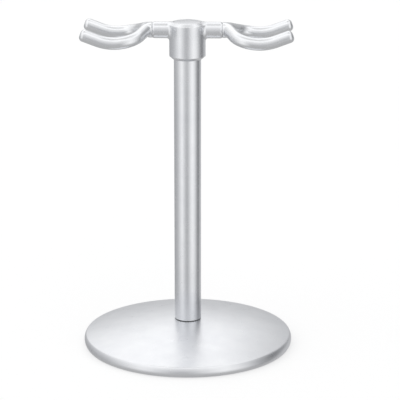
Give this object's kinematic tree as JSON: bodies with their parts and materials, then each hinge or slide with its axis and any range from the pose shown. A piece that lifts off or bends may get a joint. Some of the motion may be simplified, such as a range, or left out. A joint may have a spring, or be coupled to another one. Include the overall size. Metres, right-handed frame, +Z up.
{
  "type": "airbrush holder stand",
  "caption": "Bench stand with a weighted domed round base, a tubular column and a turning crosshead whose two forks of dipped round prongs each cradle an airbrush.",
  "frame": {"origin": "middle of the base, on the surface that the stand rests on", "axes": "+Z up along the column; X along the two arms; +Y to the rear of the stand"},
  "size_m": [0.13, 0.13, 0.2048],
  "materials": {
    "pad_rubber": "fine-textured black rubber",
    "base_satin": "bead-blasted, clear anodised, satin",
    "ballast_iron": "as cast, turned on its faces",
    "dark_steel": "black oxide",
    "zinc_steel": "bright zinc",
    "gasket_fibre": "black fibre",
    "column_satin": "bead-blasted, clear anodised, satin",
    "plug_brass": "turned",
    "washer_nylon": "natural nylon",
    "head_satin": "bead-blasted, clear anodised, satin",
    "fork_satin": "bead-blasted, clear anodised, satin"
  },
  "bodies": {
    "stand": {"foot_pad": "pad_rubber", "base_cover": "base_satin", "ballast_weight": "ballast_iron", "column_bolt": "dark_steel", "bolt_washer": "zinc_steel", "lock_washer": "zinc_steel", "column_gasket": "gasket_fibre", "column_tube": "column_satin", "foot_plug": "plug_brass", "top_plug": "plug_brass", "slip_washer": "washer_nylon", "head_washer": "zinc_steel", "cup_spring": "zinc_steel", "head_screw": "dark_steel"},
    "head": {"crosshead": "head_satin", "head_cap": "head_satin", "left_yoke": "fork_satin", "right_yoke": "fork_satin", "left_front_prong": "fork_satin", "left_rear_prong": "fork_satin", "right_front_prong": "fork_satin", "right_rear_prong": "fork_satin"}
  },
  "joints": [
    {"name": "head_swivel", "type": "hinge", "parent": "stand", "child": "head", "pos_m": [0, 0, 0.1935], "axis": [0, 0, 1], "continuous": true}
  ]
}
